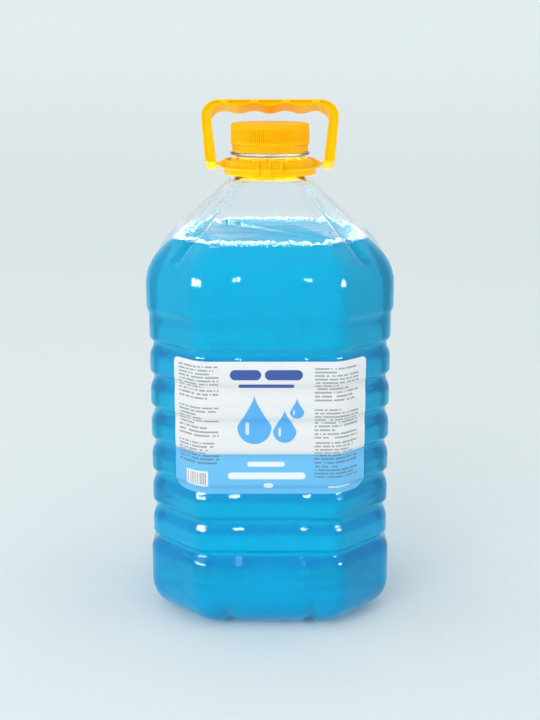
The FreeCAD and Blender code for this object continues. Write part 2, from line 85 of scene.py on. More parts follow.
class BottleSizes(bpy.types.PropertyGroup):
    half_width: length("Half width", "Half the width of the square body", HALF)
    chamfer: length("Chamfer", "Length cut from each side at a corner", 32.6 * MM)
    corner_tangent: length("Corner round", "Length of side taken by the round beside a chamfer", 5.6 * MM)
    wall: length("Wall", "Thickness of the blown wall", 0.45 * MM)
    heel: length("Heel radius", "Round between base and side", 21.5 * MM)
    first_groove: length("First groove", "Height of the lowest groove", 51.1 * MM)
    rib_pitch: length("Rib pitch", "Height from one groove to the next", 21.55 * MM)
    rib_count: IntProperty(name="Ribs", description="Number of grooves below the step", default=7, min=1)
    recess: length("Panel recess", "Depth of the ribbed panel below the bands", 1.4 * MM)
    groove_depth: length("Groove depth", "Depth of a groove below its ribs", 2.2 * MM)
    groove_reach: length("Groove reach", "Half the height of a groove", 4.9 * MM)
    shoulder_start: length("Shoulder start", "Height where the side begins to bend in", 218.4 * MM)
    shoulder_radius: length("Shoulder radius", "Round between side and cone", 29.2 * MM)
    cone_top: length("Cone top", "Height where the cone meets the neck's fillet", 278.9 * MM)
    cone_top_half: length("Cone top half width", "Half width at the top of the cone", 26.3 * MM)
    neck_radius: length("Neck radius", "Radius of the neck below the flange", 22.9 * MM)
    flange_radius: length("Flange radius", "Radius of the support flange", 25.4 * MM)
    flange_bottom: length("Flange height", "Height of the underside of the support flange", 294.9 * MM)


class HandleSizes(bpy.types.PropertyGroup):
    half_width: length("Half width", "Half the outer width at the grip", 45.3 * MM)
    foot_half_width: length("Foot half width", "Half the outer width at the feet", 41.3 * MM)
    height: length("Height", "From the hinge line to the top of the grip", 41.25 * MM)
    thickness: length("Thickness", "Front to back", 13.6 * MM)
    grip: length("Grip height", "Height of the grip's section", 3.75 * MM)
    leg: length("Leg width", "Width of a leg below the grip", 6.3 * MM)
    foot: length("Foot width", "Width of a leg at its foot", 7.4 * MM)
    wave_pitch: length("Wave pitch", "Distance between finger bumps", 20 * MM)
    wave_height: length("Wave height", "Depth of the finger hollows", 2 * MM)
    hinge: length("Hinge height", "Height of the hinge line", 289 * MM)
    foot_drop: length("Foot drop", "How far the feet reach below the hinge line", 1.5 * MM)
    rim: length("Rim", "Width of the rims round the recessed faces", 1.1 * MM)
    recess: length("Recess", "Depth of the recessed faces", 2.2 * MM)
    lean: FloatProperty(name="Lean", description="How far the bail leans back", default=math.radians(25),
                        subtype="ANGLE")


class Finish(bpy.types.PropertyGroup):
    gel: colour("Gel", "Colour of the liquid", (0.0, 0.35, 0.56))
    cap: colour("Cap", "Colour of the cap and tamper band", (0.98, 0.485, 0.0))
    handle: colour("Handle", "Colour of collar and bail", (1.0, 0.60, 0.0))
    paper: colour("Label white", "White of the label", (0.85, 0.86, 0.87))
    band: colour("Label band", "Pale blue of the label's lower band", (0.15, 0.55, 0.92))
    ink: colour("Title ink", "Dark blue of the title bars", (0.035, 0.095, 0.38))
    motif: colour("Motif", "Light blue of the drops on the label", (0.10, 0.45, 0.90))
    floor: colour("Floor", "Pale floor and backdrop", (0.79, 0.85, 0.86))


class BottleSettings(bpy.types.PropertyGroup):
    bottle: PointerProperty(type=BottleSizes)
    handle: PointerProperty(type=HandleSizes)
    finish: PointerProperty(type=Finish)


# Working by hand: selection, edit mode and finished pieces

def clear_selection():
    if bpy.context.object is not None and bpy.context.object.mode != "OBJECT":
        bpy.ops.object.mode_set(mode="OBJECT")
    bpy.ops.object.select_all(action="DESELECT")


def begin(primitive, name, **how):
    """Adds a primitive and names it."""
    clear_selection()
    primitive(**how)
    piece = bpy.context.object
    piece.name = name
    piece.data.name = name
    return piece


def activate(piece):
    clear_selection()
    piece.select_set(True)
    bpy.context.view_layer.objects.active = piece


def edit(piece, mode="VERT"):
    activate(piece)
    bpy.ops.object.mode_set(mode="EDIT")
    bpy.ops.mesh.select_mode(type=mode)
    bpy.ops.mesh.select_all(action="DESELECT")


def done():
    bpy.ops.object.mode_set(mode="OBJECT")


def choose(piece, kind, test):
    """Selects in edit mode each vertex, edge or face that passes a test."""
    form = bmesh.from_edit_mesh(piece.data)
    count = 0
    for element in getattr(form, kind):
        wanted = bool(test(element))
        element.select_set(wanted)
        count += wanted
    form.select_flush_mode()
    bmesh.update_edit_mesh(piece.data)
    if not count:
        raise RuntimeError("nothing chosen on " + piece.name)


def middle(edge):
    return (edge.verts[0].co + edge.verts[1].co) / 2


def along(edge, axis):
    """True where an edge runs along an axis."""
    return abs((edge.verts[0].co - edge.verts[1].co).normalized()[axis]) > 0.999


def settle(piece):
    """Moves a piece's place, turn and scale into its mesh."""
    activate(piece)
    bpy.ops.object.transform_apply(location=True, rotation=True, scale=True)


def modify(piece, kind, **settings):
    """Adds a modifier, sets it and applies it."""
    activate(piece)
    modifier = piece.modifiers.new(kind.title(), kind)
    for key, value in settings.items():
        setattr(modifier, key, value)
    bpy.ops.object.modifier_apply(modifier=modifier.name)


def combine(piece, tool, operation):
    """Adds or cuts another piece, which is used up."""
    modify(piece, "BOOLEAN", operation=operation, object=tool, solver="EXACT")
    bpy.data.objects.remove(tool)


def copied(piece, name):
    twin = piece.copy()
    twin.data = piece.data.copy()
    twin.name = name
    twin.data.name = name
    bpy.context.collection.objects.link(twin)
    return twin


def outward(piece):
    edit(piece)
    bpy.ops.mesh.select_all(action="SELECT")
    bpy.ops.mesh.remove_doubles(threshold=0.00001)
    bpy.ops.mesh.normals_make_consistent(inside=False)
    done()


def smooth(piece, degrees=None):
    activate(piece)
    if degrees is None:
        bpy.ops.object.shade_smooth()
    else:
        bpy.ops.object.shade_smooth_by_angle(angle=math.radians(degrees))


def finish_piece(piece, body, slot, material, *nodes):
    piece.data.materials.clear()
    piece.data.materials.append(material)
    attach(piece, body)
    if nodes:
        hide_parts(*nodes)


def ease(low, high, value):
    """0 below low, 1 above high and a smooth step between."""
    share = min(1, max(0, (value - low) / (high - low)))
    return share * share * (3 - 2 * share)


def grow(rows, at):
    """Extrudes the chosen ring through (height, factor of the section) rows."""
    height, factor = at
    for new_height, new_factor in rows:
        bpy.ops.mesh.extrude_region_move(TRANSFORM_OT_translate={"value": (0, 0, new_height - height)})
        scale = new_factor / factor
        bpy.ops.transform.resize(value=(scale, scale, 1), center_override=(0, 0, new_height))
        height, factor = new_height, new_factor
    return height, factor


def turned(name, rows, segments):
    """A piece turned round the axis from (radius, height) rows, open at both ends."""
    radius, height = rows[0]
    piece = begin(bpy.ops.mesh.primitive_circle_add, name, vertices=segments, radius=radius,
                  location=(0, 0, height))
    settle(piece)
    edit(piece, "EDGE")
    bpy.ops.mesh.select_all(action="SELECT")
    grow([(row[1], row[0]) for row in rows[1:]], (height, radius))
    done()
    return piece


# Shader maths

class Socket:
    """One output of a material's nodes, with the arithmetic that builds Math nodes."""

    def __init__(self, sheet, socket):
        self.sheet = sheet
        self.socket = socket

    def _math(self, operation, *values):
        return self.sheet.node("ShaderNodeMath", {"operation": operation}, dict(enumerate(values)))

    def __add__(self, other):
        return self._math("ADD", self, other)

    __radd__ = __add__

    def __sub__(self, other):
        return self._math("SUBTRACT", self, other)

    def __rsub__(self, other):
        return self._math("SUBTRACT", other, self)

    def __mul__(self, other):
        return self._math("MULTIPLY", self, other)

    __rmul__ = __mul__

    def __truediv__(self, other):
        return self._math("DIVIDE", self, other)

    def __abs__(self):
        return self._math("ABSOLUTE", self)

    def least(self, other):
        return self._math("MINIMUM", self, other)

    def most(self, other):
        return self._math("MAXIMUM", self, other)

    def above(self, other):
        return self._math("GREATER_THAN", self, other)

    def power(self, other):
        return self._math("POWER", self, other)

    def root(self):
        return self._math("SQRT", self)

    def wrapped(self, span):
        return self._math("FLOORED_MODULO", self, span)

    def floor(self):
        return self._math("FLOOR", self)

    def sine(self):
        return self._math("SINE", self)

    def faded(self, low, high):
        """A smooth step from 0 at low to 1 at high."""
        return self.sheet.node("ShaderNodeMapRange", {"interpolation_type": "SMOOTHSTEP"},
                               {"Value": self, "From Min": low, "From Max": high})


class Sheet:
    """A new node material; node() adds any node by its type, settings and inputs."""

    def __init__(self, name):
        self.material = bpy.data.materials.new(name)
        self.material.use_nodes = True
        self.tree = self.material.node_tree
        self.tree.nodes.clear()

    def node(self, kind, settings=None, inputs=None, output=0):
        made = self.tree.nodes.new(kind)
        for key, value in (settings or {}).items():
            setattr(made, key, value)
        for key, value in (inputs or {}).items():
            if isinstance(value, Socket):
                self.tree.links.new(value.socket, made.inputs[key])
            else:
                made.inputs[key].default_value = value
        return Socket(self, made.outputs[output])

    def place(self):
        """X, Y and Z of the object, in metres."""
        spot = self.node("ShaderNodeTexCoord", output="Object")
        parts = [self.node("ShaderNodeSeparateXYZ", inputs={0: spot}, output=i) for i in range(3)]
        return spot, parts

    def noise(self, spot, scale, detail=2.0, roughness=0.5, output="Fac"):
        return self.node("ShaderNodeTexNoise", inputs={"Vector": spot, "Scale": scale, "Detail": detail,
                                                       "Roughness": roughness}, output=output)

    def blend(self, share, low, high):
        return self.node("ShaderNodeMix", {"data_type": "RGBA"}, {0: share, 6: low, 7: high}, output=2)

    def bump(self, height, strength, distance):
        return self.node("ShaderNodeBump", inputs={"Height": height, "Strength": strength, "Distance": distance})

    def surface(self, **inputs):
        """Ends the sheet in one Principled shader; underscores stand for spaces."""
        named = {key.replace("_", " "): value for key, value in inputs.items()}
        shader = self.node("ShaderNodeBsdfPrincipled", inputs=named, output="BSDF")
        self.node_output(shader)
        return self.material

    def node_output(self, shader):
        end = self.tree.nodes.new("ShaderNodeOutputMaterial")
        self.tree.links.new(shader.socket, end.inputs["Surface"])


def rgba(value):
    return (value[0], value[1], value[2], 1)


def clear_wall_material():
    """Blown clear wall: glossy, with a faint unevenness from blowing."""
    sheet = Sheet("clear_wall")
    spot, parts = sheet.place()
    ripple = sheet.noise(spot, 28, 2.0, 0.45)
    normal = sheet.bump(ripple, 0.10, 0.001)
    return sheet.surface(Base_Color=(0.985, 0.995, 1.0, 1), Roughness=0.0, IOR=1.45,
                         Specular_Tint=(0.3, 0.3, 0.3, 1), Transmission_Weight=1.0, Normal=normal)


def gel_material(settings):
    """Blue gel, slightly cloudy, with painted shade in a band below each groove, a painted glow strongest near the
    base, and slow waves on its open surface.
    """
    sizes = settings.bottle
    gel = tuple(settings.finish.gel)
    sheet = Sheet("blue_gel")
    spot, parts = sheet.place()
    waves = sheet.noise(spot, 38, 1.5) * parts[2].above(FILL - 0.05 * MM)
    normal = sheet.bump(waves, 0.5, 0.004)
    # Painted glow: the gel emits a faint blue light, strongest near the base, standing in for light from the floor
    # below.
    painted_glow = sheet.blend(parts[2].faded(0.015, 0.085), (0.0, 0.05, 0.11, 1), (0.0, 0.012, 0.03, 1))
    # Painted shade: a darker copy of the gel colour in a band just below each groove, where the groove flanks lie in
    # shade.
    first = sizes.first_groove - 8.5 * MM
    last = sizes.first_groove + (sizes.rib_count - 1) * sizes.rib_pitch
    level = (parts[2] - first).wrapped(sizes.rib_pitch)
    band = level.faded(0, 1.5 * MM) * level.faded(8.2 * MM, 6.4 * MM)
    band = band * parts[2].faded(first - 0.5 * MM, first) * parts[2].faded(last + 1 * MM, last)
    shade = sheet.blend(band, rgba(gel), (0, gel[1] * 0.66, gel[2] * 0.84, 1))
    return sheet.surface(Base_Color=shade, Roughness=0.0, IOR=1.34, Specular_IOR_Level=0.05,
                         Specular_Tint=(0.3, 0.3, 0.3, 1), Transmission_Weight=0.7, Normal=normal,
                         Emission_Color=painted_glow, Emission_Strength=1.0)


def bubble_material():
    sheet = Sheet("bubbles")
    spot, parts = sheet.place()
    shade = sheet.blend(sheet.noise(spot, 420, 2.0).faded(0.3, 0.7), (0.16, 0.42, 0.56, 1), (0.52, 0.60, 0.63, 1))
    return sheet.surface(Base_Color=shade, Roughness=0.12, IOR=1.33)


def moulded_material(name, tint, roughness, grain, depth):
    """Moulded plastic: one tint with faint flow marks, a fine grain and a faint painted glow in its own tint that
    lightens its shaded faces.
    """
    sheet = Sheet(name)
    spot, parts = sheet.place()
    cloud = sheet.noise(spot, 55, 3.0)
    fine = sheet.noise(spot, grain, 2.0)
    darker = tuple(channel * 0.93 for channel in tint) + (1,)
    shade = sheet.blend(cloud.faded(0.25, 0.75), darker, rgba(tint))
    rough = roughness - 0.05 + fine * 0.10
    normal = sheet.bump(fine, 0.25, depth)
    # The emission is a painted glow in the plastic's own tint, lifting its shadows.
    return sheet.surface(Base_Color=shade, Roughness=rough, IOR=1.49, Specular_IOR_Level=0.12, Normal=normal,
                         Emission_Color=rgba(tint), Emission_Strength=0.08)


# Bottle

def groove_depth(sizes, height):
    """How far the side lies inside the full width at a height."""
    step = sizes.first_groove + sizes.rib_count * sizes.rib_pitch
    reach = sizes.groove_reach
    inside = ease(sizes.first_groove - reach, sizes.first_groove, height)
    inside *= 1 - ease(step - reach * 0.5, step + reach * 0.5, height)
    depth = sizes.recess * inside
    for i in range(sizes.rib_count):
        above = height - sizes.first_groove - i * sizes.rib_pitch
        span = reach if above > 0 else reach * 1.5
        depth += sizes.groove_depth * (1 - ease(span * 0.12, span, abs(above)))
    return depth


def side_heights(sizes):
    """Close rows in the grooves and at the step, wide ones on the ribs."""
    reach = sizes.groove_reach
    heights = [sizes.heel + (sizes.first_groove - reach * 1.3 - sizes.heel) * i / 4 for i in range(1, 5)]
    for i in range(sizes.rib_count):
        centre = sizes.first_groove + i * sizes.rib_pitch
        heights += [centre + reach * k / 6 for k in range(-6, 7)]
        heights += [centre + reach + (sizes.rib_pitch - 2 * reach) * k / 4 for k in (1, 2, 3)]
    step = sizes.first_groove + sizes.rib_count * sizes.rib_pitch
    heights += [step + reach * k / 6 for k in range(-4, 6)]
    heights.append((step + reach + sizes.shoulder_start) / 2)
    return heights


def body_rows(sizes):
    """(height, half width) from the middle of the base to the foot of the neck's fillet."""
    flat = sizes.half_width - sizes.heel
    rows = [(0.0, 4 * MM + (flat - 4 * MM) * i / 22) for i in range(1, 23)]
    for i in range(1, 13):
        angle = math.radians(90 * i / 12)
        rows.append((sizes.heel * (1 - math.cos(angle)), flat + sizes.heel * math.sin(angle)))
    for height in side_heights(sizes):
        rows.append((height, sizes.half_width - groove_depth(sizes, height)))
    rows.append((sizes.shoulder_start, sizes.half_width))
    for i in range(1, 12):
        angle = math.radians(45 * i / 11)
        rows.append((sizes.shoulder_start + sizes.shoulder_radius * math.sin(angle),
                     sizes.half_width - sizes.shoulder_radius * (1 - math.cos(angle))))
    low, wide = rows[-1]
    for i in range(1, 21):
        share = i / 20
        rows.append((low + (sizes.cone_top - low) * share, wide + (sizes.cone_top_half - wide) * share))
    return rows


NECK_RISE = 2.9 * MM


def neck_rows(sizes):
    """(height, radius) of the round neck, its flange, bead and mouth."""
    neck = sizes.neck_radius
    flange = sizes.flange_radius
    low = sizes.flange_bottom
    finish = neck - 0.6 * MM
    start = sizes.cone_top + NECK_RISE
    rows = [(start + (low - 0.5 * MM - start) * i / 20, neck) for i in range(1, 21)]
    rows += [(low - 0.3 * MM, neck + 0.1 * MM), (low, neck + 0.5 * MM), (low + 0.1 * MM, flange - 0.5 * MM)]
    rows += [(low + 0.4 * MM, flange - 0.1 * MM), (low + 0.8 * MM, flange), (low + 1.3 * MM, flange)]
    rows += [(low + 1.7 * MM, flange - 0.2 * MM), (low + 1.95 * MM, flange - 0.7 * MM)]
    rows += [(low + 2.1 * MM, finish + 0.5 * MM), (low + 2.4 * MM, finish + 0.1 * MM), (low + 3 * MM, finish)]
    bead = low + 4.4 * MM
    rows += [(bead, finish), (bead + 0.2 * MM, finish + 0.8 * MM), (bead + 0.7 * MM, finish + 0.85 * MM)]
    rows += [(bead + 1.5 * MM, finish), (MOUTH - 3 * MM, finish), (MOUTH - 0.4 * MM, finish), (MOUTH, finish - 0.3 * MM)]
    rows += [(MOUTH, finish - 1.6 * MM)]
    return rows


def octagon_ring(sizes):
    """A square plate with chamfered, rounded corners, divided evenly, as a ring of edges."""
    piece = begin(bpy.ops.mesh.primitive_plane_add, "bottle_glass", size=2 * sizes.half_width)
    settle(piece)
    edit(piece)
    bpy.ops.mesh.select_all(action="SELECT")
    bpy.ops.mesh.bevel(offset=sizes.chamfer, offset_type="OFFSET", segments=1, affect="VERTICES")
    bpy.ops.mesh.select_all(action="SELECT")
    bpy.ops.mesh.bevel(offset=sizes.corner_tangent, offset_type="OFFSET", segments=5, profile=0.5,
                       affect="VERTICES")
    bpy.ops.mesh.select_mode(type="EDGE")
    bpy.ops.mesh.select_all(action="SELECT")
    bpy.ops.mesh.delete(type="ONLY_FACE")
    choose(piece, "edges", lambda edge: edge.calc_length() > 50 * MM)
    bpy.ops.mesh.subdivide(number_cuts=23)
    choose(piece, "edges", lambda edge: edge.calc_length() > 20 * MM)
    bpy.ops.mesh.subdivide(number_cuts=15)
    bpy.ops.mesh.select_all(action="SELECT")
    return piece


def mean_radius(piece, height):
    form = bmesh.from_edit_mesh(piece.data)
    ring = [v.co.xy.length for v in form.verts if v.select]
    return sum(ring) / len(ring)


def foot_press(spot):
    """Depth of the punt and the eight radial grooves of the base at a point."""
    depth = 0.0
    reach = spot.xy.length
    for quarter in range(4):
        for side in (-1, 1):
            turn = math.radians(90 * quarter + side * 20.5)
            run = spot.x * math.cos(turn) + spot.y * math.sin(turn)
            off = abs(spot.y * math.cos(turn) - spot.x * math.sin(turn))
            if run > 0 and off < 4.6 * MM:
                fade = ease(16 * MM, 26 * MM, reach) * (1 - ease(13 * MM, 24 * MM, spot.z))
                depth = max(depth, 2.9 * MM * fade * (1 - (off / (4.6 * MM)) ** 2) ** 1.3)
    return depth


def flute_press(spot):
    """Depth of the four shoulder flutes at a point, deepest at the lower end."""
    depth = 0.0
    top, end = 271 * MM, 236 * MM
    for quarter in range(4):
        turn = math.radians(90 * quarter + 45)
        run = spot.x * math.cos(turn) + spot.y * math.sin(turn)
        off = spot.y * math.cos(turn) - spot.x * math.sin(turn)
        beyond = max(0, spot.z - top, end - spot.z) * 1.4
        away = math.hypot(off, beyond)
        if run > 0 and away < 3.6 * MM:
            share = min(1, max(0, (top - spot.z) / (top - end)))
            depth = max(depth, (1.3 + 1.5 * share) * MM * (1 - (away / (3.6 * MM)) ** 2) ** 1.2)
    return depth


def press_hollows(piece):
    """Presses punt, foot grooves and flutes into the blown form."""
    normals = [vertex.normal.copy() for vertex in piece.data.vertices]
    for vertex, normal in zip(piece.data.vertices, normals):
        spot = vertex.co.copy()
        vertex.co = spot - normal * (foot_press(spot) + flute_press(spot))
        if spot.z < 1 * MM:
            vertex.co.z += 7 * MM * (1 - ease(12 * MM, 43 * MM, spot.xy.length))
    piece.data.update()


def blown_skin(sizes):
    """The outer skin of the whole bottle, from the middle of its base to its mouth."""
    piece = octagon_ring(sizes)
    start = 4 * MM / sizes.half_width
    bpy.ops.transform.resize(value=(start, start, 1), center_override=(0, 0, 0))
    rows = [(height, half / sizes.half_width) for height, half in body_rows(sizes)]
    height, factor = grow(rows, (0.0, start))
    low = sizes.cone_top + NECK_RISE
    steps = 6
    for i in range(1, steps + 1):
        share = i / steps
        new_height = sizes.cone_top + (low - sizes.cone_top) * share
        bpy.ops.mesh.extrude_region_move(TRANSFORM_OT_translate={"value": (0, 0, new_height - height)})
        bpy.ops.transform.tosphere(value=1 if i == steps else share * 0.5)
        height = new_height
        radius = mean_radius(piece, height)
        wanted = sizes.neck_radius + (sizes.cone_top_half - sizes.neck_radius) * (1 - share) ** 1.6
        scale = wanted / radius
        bpy.ops.transform.resize(value=(scale, scale, 1), center_override=(0, 0, height))
    grow(neck_rows(sizes), (height, sizes.neck_radius))
    done()
    edit(piece, "EDGE")
    choose(piece, "edges", lambda edge: edge.is_boundary and edge.verts[0].co.z < 1 * MM)
    bpy.ops.mesh.edge_face_add()
    done()
    outward(piece)
    press_hollows(piece)
    return piece


def thicken_neck(skin, outer_count, sizes):
    """Sets the inside of the moulded neck back to its bore; the wall below it stays thin."""
    start = sizes.cone_top + NECK_RISE
    for vertex in skin.data.vertices[outer_count:]:
        reach = vertex.co.xy.length
        if vertex.co.z > sizes.cone_top and reach > 15 * MM:
            share = ease(sizes.cone_top, start + 3 * MM, vertex.co.z)
            wanted = reach + (BORE - reach) * share
            vertex.co.x *= wanted / reach
            vertex.co.y *= wanted / reach
    skin.data.update()


BORE = 20.1 * MM


def build_bottle(settings):
    skin = blown_skin(settings.bottle)
    contents = copied(skin, "gel")
    label = copied(skin, "label_sheet")
    outer_count = len(skin.data.vertices)
    modify(skin, "SOLIDIFY", thickness=settings.bottle.wall, offset=-1, use_even_offset=True)
    thicken_neck(skin, outer_count, settings.bottle)
    smooth(skin)
    skin.visible_shadow = False
    finish_piece(skin, "bottle_body", "clear_pet", clear_wall_material(), "bottle")
    return contents, label


def build_gel(settings, piece):
    """The contents: the blown form just inside the wall, cut off at the fill level."""
    edit(piece)
    bpy.ops.mesh.select_all(action="SELECT")
    bpy.ops.transform.shrink_fatten(value=-0.30 * MM)
    bpy.ops.mesh.bisect(plane_co=(0, 0, FILL), plane_no=(0, 0, 1), clear_outer=True, use_fill=True)
    done()
    outward(piece)
    smooth(piece, 40)
    finish_piece(piece, "bottle_body", "blue_gel", gel_material(settings), "detergent")


def rim_point(half, turn):
    """Point on the octagon of a given half width in a direction, for foam along the wall."""
    chamfer_reach = half * (2 - 0.43) / math.sqrt(2)
    best = 1e9
    for k in range(8):
        normal = math.radians(45 * k)
        facing = math.cos(turn - normal)
        if facing > 0.01:
            best = min(best, (half if k % 2 == 0 else chamfer_reach) / facing)
    return best


def build_foam(settings):
    """A lumpy ring of small bubbles along the wall at the gel's surface."""
    sizes = settings.bottle
    slope = (sizes.half_width - 8.55 * MM - sizes.cone_top_half) / (sizes.cone_top - 239.05 * MM)
    half = sizes.cone_top_half + (sizes.cone_top - FILL) * slope - 0.45 * MM
    random.seed(5)
    phases = [random.uniform(0, 2 * math.pi) for i in range(6)]
    bubble = begin(bpy.ops.mesh.primitive_ico_sphere_add, "foam_bubbles", subdivisions=2, radius=1)
    shape = bmesh.new()
    ball = bubble.data.copy()
    for i in range(2300):
        turn = random.uniform(0, 2 * math.pi)
        lump = 0.5 + sum(math.sin((5 + 6 * k) * turn + phases[k]) for k in range(6)) / 7
        lump = min(1, max(0.12, lump))
        radius = random.choice((0.40, 0.48, 0.56, 0.68, 0.85, 1.1)) * MM
        lift = random.uniform(-1.6, 2.2) * MM * lump
        if lift < 0.2 * MM:
            radius = min(radius, 0.36 * MM)
            depth = -radius * 0.75
        else:
            depth = abs(random.gauss(0, 5.5)) * MM * lump
            lift *= max(0.2, 1 - depth / (9 * MM))
        reach = rim_point(half - lift * slope - radius * 1.3 - depth, turn)
        first = len(shape.verts)
        shape.from_mesh(ball)
        shape.verts.ensure_lookup_table()
        spot = Vector((reach * math.cos(turn), reach * math.sin(turn), FILL + lift))
        place = Matrix.Translation(spot) @ Matrix.Scale(radius, 4)
        bmesh.ops.transform(shape, matrix=place, verts=shape.verts[first:])
    shape.to_mesh(bubble.data)
    shape.free()
    bpy.data.meshes.remove(ball)
    smooth(bubble)
    finish_piece(bubble, "bottle_body", "blue_gel", bubble_material())


# Label

def build_label(settings, piece):
    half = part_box("label")[1].x
    low, high = bottom_of("label"), top_of("label")
    edit(piece)
    planes = [((half, 0, 0), (1, 0, 0)), ((-half, 0, 0), (-1, 0, 0)), ((0, 0, low), (0, 0, -1)),
              ((0, 0, high), (0, 0, 1)), ((0, -40 * MM, 0), (0, 1, 0))]
    for corner, radius in ((low, 6.5 * MM), (high, 2.5 * MM)):
        rise = 1 if corner == low else -1
        for side in (-1, 1):
            for degrees in (15, 30, 45, 60, 75):
                angle = math.radians(degrees)
                out = Vector((side * math.cos(angle), 0, -rise * math.sin(angle)))
                centre = Vector((side * (half - radius), 0, corner + rise * radius))
                planes.append((centre + out * radius, out))
    for spot, normal in planes:
        bpy.ops.mesh.select_all(action="SELECT")
        bpy.ops.mesh.bisect(plane_co=spot, plane_no=normal, clear_outer=True)
    bpy.ops.mesh.select_all(action="SELECT")
    bpy.ops.transform.shrink_fatten(value=0.06 * MM)
    done()
    modify(piece, "SOLIDIFY", thickness=0.10 * MM, offset=1)
    flat = settings.bottle.half_width - settings.bottle.chamfer
    unroll = piece.data.uv_layers.new(name="unrolled")
    for loop in piece.data.loops:
        spot = piece.data.vertices[loop.vertex_index].co
        run = abs(spot.x)
        if run > flat:
            run = flat + (run - flat) * math.sqrt(2)
        unroll.data[loop.index].uv = (math.copysign(run, spot.x), spot.z - low)
    smooth(piece, 50)
    finish_piece(piece, "bottle_body", "label_film", label_material(settings), "label")


def label_material(settings):
    """White field, pale blue band, title bars, drops and columns of short grey bars."""
    finish = settings.finish
    sheet = Sheet("label_print")
    page = sheet.node("ShaderNodeUVMap", {"uv_map": "unrolled"})
    across = sheet.node("ShaderNodeSeparateXYZ", inputs={0: page}, output=0) / MM
    rise = sheet.node("ShaderNodeSeparateXYZ", inputs={0: page}, output=1) / MM
    soft = 0.12

    def bar(x, z, width, height, corner):
        """A filled bar with rounded corners, centred at (x, z), in millimetres."""
        dx = (abs(across - x) - (width / 2 - corner)).most(0)
        dz = (abs(rise - z) - (height / 2 - corner)).most(0)
        return (dx * dx + dz * dz).root().faded(corner + soft, corner - soft)

    def drop(x, z, size):
        """A round drop drawn out to a point at its top."""
        lift = ((rise - z) / size)
        narrow = (1.0 - lift.most(0) * 0.52).most(0.02)
        dx = (across - x) / size / narrow
        low = lift.least(0)
        high = lift.most(0) * 0.5
        return (dx * dx + low * low + high * high).root().faded(1.0 + soft / size, 1.0 - soft / size)

    def lines(x, z, width, height, pitch, seed):
        """A block of short grey bars of uneven length."""
        row = ((rise - z) / pitch).floor()
        spot = sheet.node("ShaderNodeCombineXYZ", inputs={0: (across / 0.9).floor(), 1: row, 2: seed})
        word = sheet.node("ShaderNodeTexWhiteNoise", {"noise_dimensions": "3D"}, {"Vector": spot}).above(0.17)
        end = sheet.node("ShaderNodeTexWhiteNoise", {"noise_dimensions": "1D"}, {"W": row * 3.7 + seed})
        inside = bar(x, z, width, height, 0.1) * (1.0 - (across - x).above(width * 0.5 - end.power(4) * width * 0.6))
        body = ((rise - z) / pitch - row).above(0.5)
        return inside * body * word

    colour_now = sheet.blend((25.8 - rise).faded(-0.15, 0.15), rgba(finish.paper), rgba(finish.band))
    grey = (0.10, 0.12, 0.15, 1)
    for x, z, width, height, pitch, seed in LABEL_TEXT:
        colour_now = sheet.blend(lines(x, z, width, height, pitch, seed) * 0.62, colour_now, grey)
    for x, z, width, height in TITLE_BARS:
        colour_now = sheet.blend(bar(x, z, width, height, height / 2 - 0.01), colour_now, rgba(finish.ink))
    for x, z, size in DROPS:
        colour_now = sheet.blend(drop(x, z, size), colour_now, rgba(finish.motif))
        glint = bar(x - size * 0.42, z - size * 0.1, size * 0.22, size * 0.7, size * 0.1)
        colour_now = sheet.blend(glint * 0.8, colour_now, (0.80, 0.91, 0.98, 1))
    for x, z, width, height in BAND_BARS:
        colour_now = sheet.blend(bar(x, z, width, height, min(width, height) / 2 - 0.01), colour_now,
                                 (0.86, 0.93, 0.98, 1))
    colour_now = sheet.blend(bar(-46.5, 10.0, 16.5, 10.5, 0.8), colour_now, (0.90, 0.91, 0.92, 1))
    strip = (across / 0.55).floor()
    tone = sheet.node("ShaderNodeTexWhiteNoise", {"noise_dimensions": "1D"}, {"W": strip}).above(0.5)
    colour_now = sheet.blend(bar(-46.5, 10.4, 14.0, 7.4, 0.05) * tone, colour_now, (0.12, 0.13, 0.15, 1))
    spot, parts = sheet.place()
    fibre = sheet.noise(spot, 900, 2.0)
    normal = sheet.bump(fibre, 0.15, 0.00008)
    return sheet.surface(Base_Color=colour_now, Roughness=0.38, Normal=normal, Coat_Weight=0.15,
                         Coat_Roughness=0.25)


LABEL_TEXT = [
    (-46, 71.0, 29.5, 22, 2.2, 1), (-46, 47.4, 29.5, 19.8, 2.2, 2), (-46, 27.2, 29.5, 15.4, 2.2, 3),
    (42.8, 70.0, 31, 22, 2.2, 4), (42.8, 46.4, 31, 19.8, 2.2, 5), (42.8, 23.2, 31, 24.2, 2.2, 6),
]
TITLE_BARS = [(-14.8, 76.6, 19, 6.4), (8.4, 76.6, 23, 6.4), (-2.2, 69.4, 34, 2.6)]
DROPS = [(-9.5, 43.5, 10.5), (9.0, 41.0, 7.2), (16.5, 53.5, 4.4)]
BAND_BARS = [(-2.5, 19.6, 23, 2.8), (-2.0, 12.4, 48, 4.4), (-1.0, 5.8, 6, 3.6), (44, 4.6, 16, 1.6)]


# Cap and tamper band

def knurled(piece, low, high, count):
    """Presses the valleys between the fine upright ribs of the skirt."""
    edit(piece)
    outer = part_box("screw_cap")[1].x
    choose(piece, "verts", lambda v: low < v.co.z < high and v.co.xy.length > outer - 0.6 * MM
           and round(math.atan2(v.co.y, v.co.x) / (2 * math.pi) * count * 4) % 4 == 0)
    bpy.ops.transform.resize(value=(0.972, 0.972, 1), center_override=(0, 0, (low + high) / 2))
    done()


